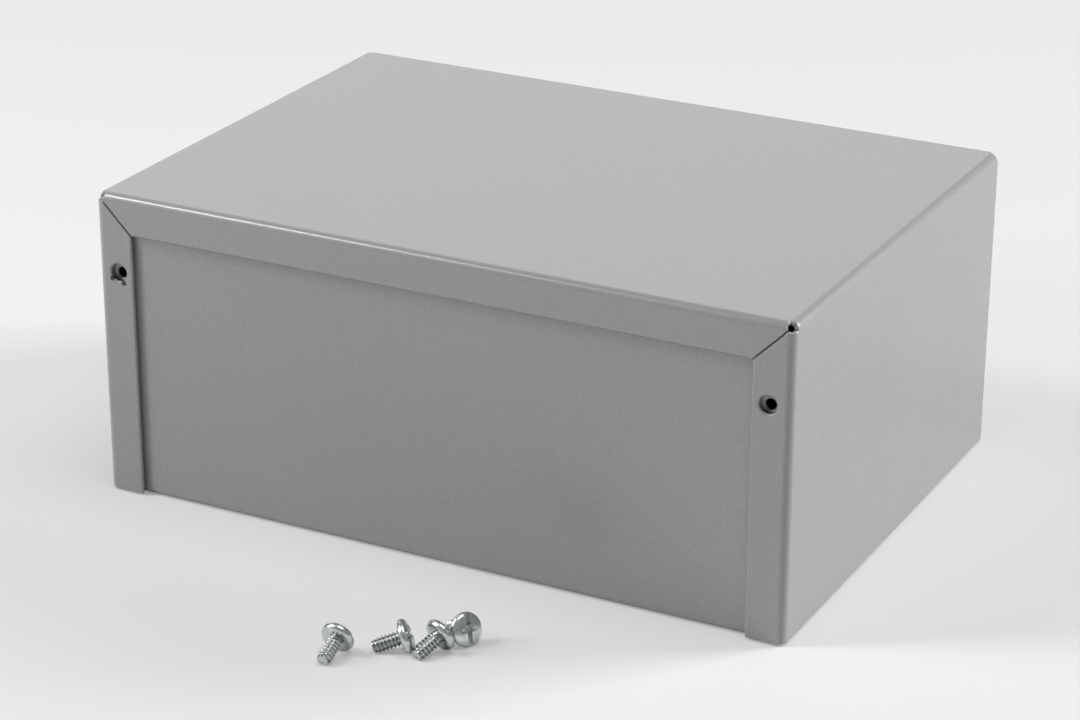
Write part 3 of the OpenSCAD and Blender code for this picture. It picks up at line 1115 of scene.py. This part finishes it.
@dataclass(frozen=True)
class Enamel:
    """Satin grey enamel over aluminium sheet, thin on the inside, with painted shade near black on the walls
    of mitre slits.
    """

    name: str
    colour: Triple = (0.315, 0.315, 0.308)
    bare_colour: Triple = (0.60, 0.60, 0.60)
    # near black for the real chips in the enamel, and for the painted shade on the walls of mitre slits
    chip_and_slit_shade_colour: Triple = (0.035, 0.034, 0.033)
    roughness: float = 0.24
    roughness_play: float = 0.04
    bare_roughness: float = 0.36
    chip_and_slit_roughness: float = 0.8
    ior: float = 1.62
    skin_mm: Triple = (0.3, 1.6, 38.0)
    tone_play: float = 0.08
    mottle_in_tone: float = 0.08
    speck: Point = (0.45, 0.62)
    speck_share: float = 0.55
    bare_from: Point = (0.93, 0.995)
    rolled_stretch: Triple = (0.02, 1.0, 1.0)
    rolled_mm: float = 0.35
    rolled_dim: float = 0.85
    grain_in_bump: float = 0.25
    bump_mm: float = 0.006
    chips: tuple[Chip, ...] = ()

    def build(self, grain: GrainGroup, chipped: ChipGroup) -> Material:
        """Builds the material.

        Args:
            grain: Group for the sprayed skin.
            chipped: Group for a chip.

        Returns:
            The material.
        """
        material, wiring = open_material(self.name)
        place = wiring.in_mm(wiring.add("ShaderNodeTexCoord").outputs["Object"])
        skin = grain.use(wiring, place, self.skin_mm)
        tone = wiring.ramp(wiring.blend(self.mottle_in_tone, skin["Grain"], skin["Mottle"]), *grain.SPREAD)
        dark, light = (scaled(self.colour, 1 + side * self.tone_play) for side in (-1, 1))
        paint = wiring.tint(tone, dark, light)
        speck = wiring.blend(self.speck_share, 1.0, wiring.ramp(skin["Grain"], *self.speck))
        bare = wiring.ramp(wiring.attribute("inside", "Fac"), *self.bare_from) * speck
        stretch = {0: wiring.attribute("flat_place", "Vector"), 1: self.rolled_stretch}
        rolled = wiring.make("ShaderNodeVectorMath", stretch, operation="MULTIPLY")
        brushed = wiring.noise(rolled, self.rolled_mm)
        metal = wiring.tint(brushed, scaled(self.bare_colour, self.rolled_dim), self.bare_colour)
        colour = wiring.tint(bare, paint, metal)
        roughness = skin["Peel"] * self.roughness_play + (self.roughness - self.roughness_play / 2)
        roughness = wiring.blend(bare, roughness, self.bare_roughness)
        # painted shade: the marked walls of the mitre slits are coloured near black, like the chips
        chip_and_slit_shade_masks = [wiring.attribute("slit", "Fac")]
        for chip in self.chips:
            inputs = {"Place": place, "Spot": chip.spot, "Radius": chip.radius, "Ragged": chip.ragged,
                      "Raggedness": chip.raggedness}
            chip_and_slit_shade_masks.append(wiring.group("ShaderNodeGroup", chipped.tree, inputs)["Mask"])
        for mask in chip_and_slit_shade_masks:
            colour = wiring.tint(mask, colour, self.chip_and_slit_shade_colour)
            roughness = wiring.blend(mask, roughness, self.chip_and_slit_roughness)
        height = wiring.blend(self.grain_in_bump, skin["Peel"], skin["Grain"])
        bump = wiring.bump(height, self.bump_mm)
        wiring.shade({"Base Color": colour, "Roughness": roughness, "Metallic": bare, "Normal": bump,
                      "IOR": self.ior})
        return material


@dataclass(frozen=True)
class ZincPlate:
    """Bright zinc plating on turned steel, with painted shade and grime darkening the thread's root."""

    name: str = "bright_zinc_plate"
    colour: Triple = (0.74, 0.77, 0.77)
    dull: Triple = (0.57, 0.60, 0.61)
    # painted shade, with some grime, in the thread's root
    root: Triple = (0.30, 0.31, 0.31)
    roughness: float = 0.24
    roughness_play: float = 0.12
    skin_mm: Triple = (0.12, 0.5, 2.2)
    bump_mm: float = 0.004
    root_shade_r_mm: Point = (1.34, 1.62)
    shank_mm: Point = (-6.45, -0.05)

    def build(self, grain: GrainGroup) -> Material:
        """Builds the material.

        Args:
            grain: Group for the plated skin.

        Returns:
            The material.
        """
        material, wiring = open_material(self.name)
        place = wiring.attribute("screw_place", "Vector")
        skin = grain.use(wiring, place, self.skin_mm)
        colour = wiring.tint(wiring.ramp(skin["Mottle"], *grain.SPREAD), self.dull, self.colour)
        x, y, z = wiring.parts(place)
        radius = (x * x + y * y).root()
        tip, head = self.shank_mm
        shank = z.is_below(head) * z.is_above(tip)
        # painted shade and grime: the shank darkens towards the root colour inside the thread's crest radius
        deep = shank * wiring.ramp(radius, *self.root_shade_r_mm, 1.0, 0.0)
        colour = wiring.tint(deep, colour, self.root)
        roughness = skin["Peel"] * self.roughness_play + (self.roughness - self.roughness_play / 2)
        bump = wiring.bump(skin["Grain"], self.bump_mm)
        wiring.shade({"Base Color": colour, "Roughness": roughness, "Metallic": 1.0, "Normal": bump})
        return material


@dataclass(frozen=True)
class Softbox:
    """A soft lamp: where it stands, what it faces, its size and its power in watts."""

    name: str
    place: Triple
    aim: Triple
    width: float
    height: float
    power: float

    def build(self) -> None:
        """Makes the lamp."""
        lamp = bpy.data.lights.new(self.name, "AREA")
        lamp.shape = "RECTANGLE"
        lamp.size = self.width
        lamp.size_y = self.height
        lamp.energy = self.power
        stand = link(bpy.data.objects.new(self.name, lamp))
        stand.visible_camera = False
        stand.location = self.place
        stand.rotation_euler = (Vector(self.aim) - Vector(self.place)).to_track_quat("-Z", "Y").to_euler()


@dataclass
class Studio:
    """Pale floor, soft lamps and the camera."""

    floor_size: float = 12.0
    floor_colour: Triple = (0.79, 0.79, 0.79)
    floor_roughness: float = 0.8
    floor_gloss: float = 0.1
    paper_seen: Triple = (0.775, 0.77, 0.775)
    paper_even: float = 0.35
    sky: float = 0.03
    sky_colour: Triple = (1.0, 1.0, 1.0)
    room_seen: float = 0.75
    room_reflected: float = 0.3
    boxes: tuple[Softbox, ...] = (
        Softbox("key_softbox", (-0.83, -0.585, 1.17), (0.0, -0.06, 0.07), 0.26, 0.45, 4.5),
        Softbox("fill_softbox", (-0.95, -0.5, 1.05), (0.0, 0.0, 0.04), 0.45, 0.45, 4.4),
        Softbox("left_softbox", (-0.81, -0.575, 0.42), (0.0, -0.03, 0.05), 0.25, 0.25, 3.4),
        Softbox("top_softbox", (0.35, -0.1, 1.5), (0.0, 0.0, 0.0), 0.8, 0.8, 8.6),
        Softbox("side_softbox", (1.9, 1.6, 1.1), (0.0, 0.0, 0.04), 1.0, 1.5, 76.0),
        Softbox("sweep_softbox", (-0.85, 1.3, 0.55), (-0.25, 0.0, 0.05), 1.3, 1.1, 3.2),
    )
    camera_place: Triple = (321.59 * MM, -630.89 * MM, 325.66 * MM)
    azimuth: float = math.radians(27.316)
    elevation: float = math.radians(22.823)
    roll: float = math.radians(0.194)
    lens: float = 104.7
    sensor: float = 36.0
    nearest: float = 0.01

    def build(self) -> None:
        """Makes the floor, the lamps, the world and the camera."""
        self.build_floor()
        for box in self.boxes:
            box.build()
        self.build_world()
        self.build_camera()
        bpy.context.scene.view_settings.view_transform = "Standard"

    def build_floor(self) -> None:
        """Lays the pale floor, which the camera sees more evenly lit than it is."""
        half = self.floor_size / 2
        mesh = bpy.data.meshes.new("pale_floor")
        corners = [(-half, -half, 0), (half, -half, 0), (half, half, 0), (-half, half, 0)]
        mesh.from_pydata(corners, [], [(0, 1, 2, 3)])
        floor = link(bpy.data.objects.new("pale_floor", mesh))
        material, wiring = open_material("pale_paper")
        matt = {"Base Color": self.floor_colour, "Roughness": self.floor_roughness,
                "Specular IOR Level": self.floor_gloss}
        lit = wiring.make("ShaderNodeBsdfPrincipled", matt)
        paper = wiring.make("ShaderNodeEmission", {"Color": self.paper_seen})
        straight = wiring.add("ShaderNodeLightPath").outputs["Is Camera Ray"]
        share = wiring.calc("MULTIPLY", straight, self.paper_even)
        seen = wiring.make("ShaderNodeMixShader", {0: share, 1: lit, 2: paper})
        wiring.add("ShaderNodeOutputMaterial", {"Surface": seen})
        mesh.materials.append(material)

    def build_world(self) -> None:
        """Surrounds the scene with dim light, and with a pale room for the camera and the gloss."""
        world = bpy.data.worlds.new("soft_room")
        world.use_nodes = True
        wiring = Wiring(world.node_tree)
        ray = wiring.add("ShaderNodeLightPath").outputs
        reflected = wiring.calc("MAXIMUM", ray["Is Glossy Ray"], ray["Is Transmission Ray"])
        strength = wiring.blend(reflected, self.sky, self.room_reflected)
        strength = wiring.blend(ray["Is Camera Ray"], strength, self.room_seen)
        light = wiring.make("ShaderNodeBackground", {"Color": self.sky_colour, "Strength": strength})
        wiring.add("ShaderNodeOutputWorld", {"Surface": light})
        bpy.context.scene.world = world

    def build_camera(self) -> None:
        """Sets up the camera at the photograph's angle."""
        lens = bpy.data.cameras.new("camera")
        lens.lens = self.lens
        lens.sensor_width = self.sensor
        lens.clip_start = self.nearest
        camera = link(bpy.data.objects.new("camera", lens))
        east, north, flat = math.sin(self.azimuth), math.cos(self.azimuth), math.cos(self.elevation)
        back = Vector((east * flat, -north * flat, math.sin(self.elevation)))
        right = Vector((north, east, 0))
        level = Matrix((right, back.cross(right), back)).transposed().to_4x4()
        place, roll = Matrix.Translation(self.camera_place), Matrix.Rotation(self.roll, 4, "Z")
        camera.matrix_world = place @ level @ roll
        bpy.context.scene.camera = camera


COVER_CHIPS = (Chip((-85.15, -63.5, 55.55), 0.7), Chip((-81.95, -63.5, 54.9), 0.78))


def main() -> None:
    """Builds the box, its screws and the studio, and reports each piece."""
    logging.basicConfig(level=logging.INFO, format="%(name)s: %(message)s")
    stock = Stock()
    grain = GrainGroup()
    chipped = ChipGroup()
    folding = FoldTree()
    base_enamel = Enamel("base_satin_enamel").build(grain, chipped)
    cover_enamel = Enamel("cover_satin_enamel", chips=COVER_CHIPS).build(grain, chipped)
    Base(stock).build(folding, base_enamel)
    Cover(stock).build(folding, cover_enamel)
    CoverScrews().build(ZincPlate().build(grain))
    Studio().build()


if __name__ == "__main__":
    main()
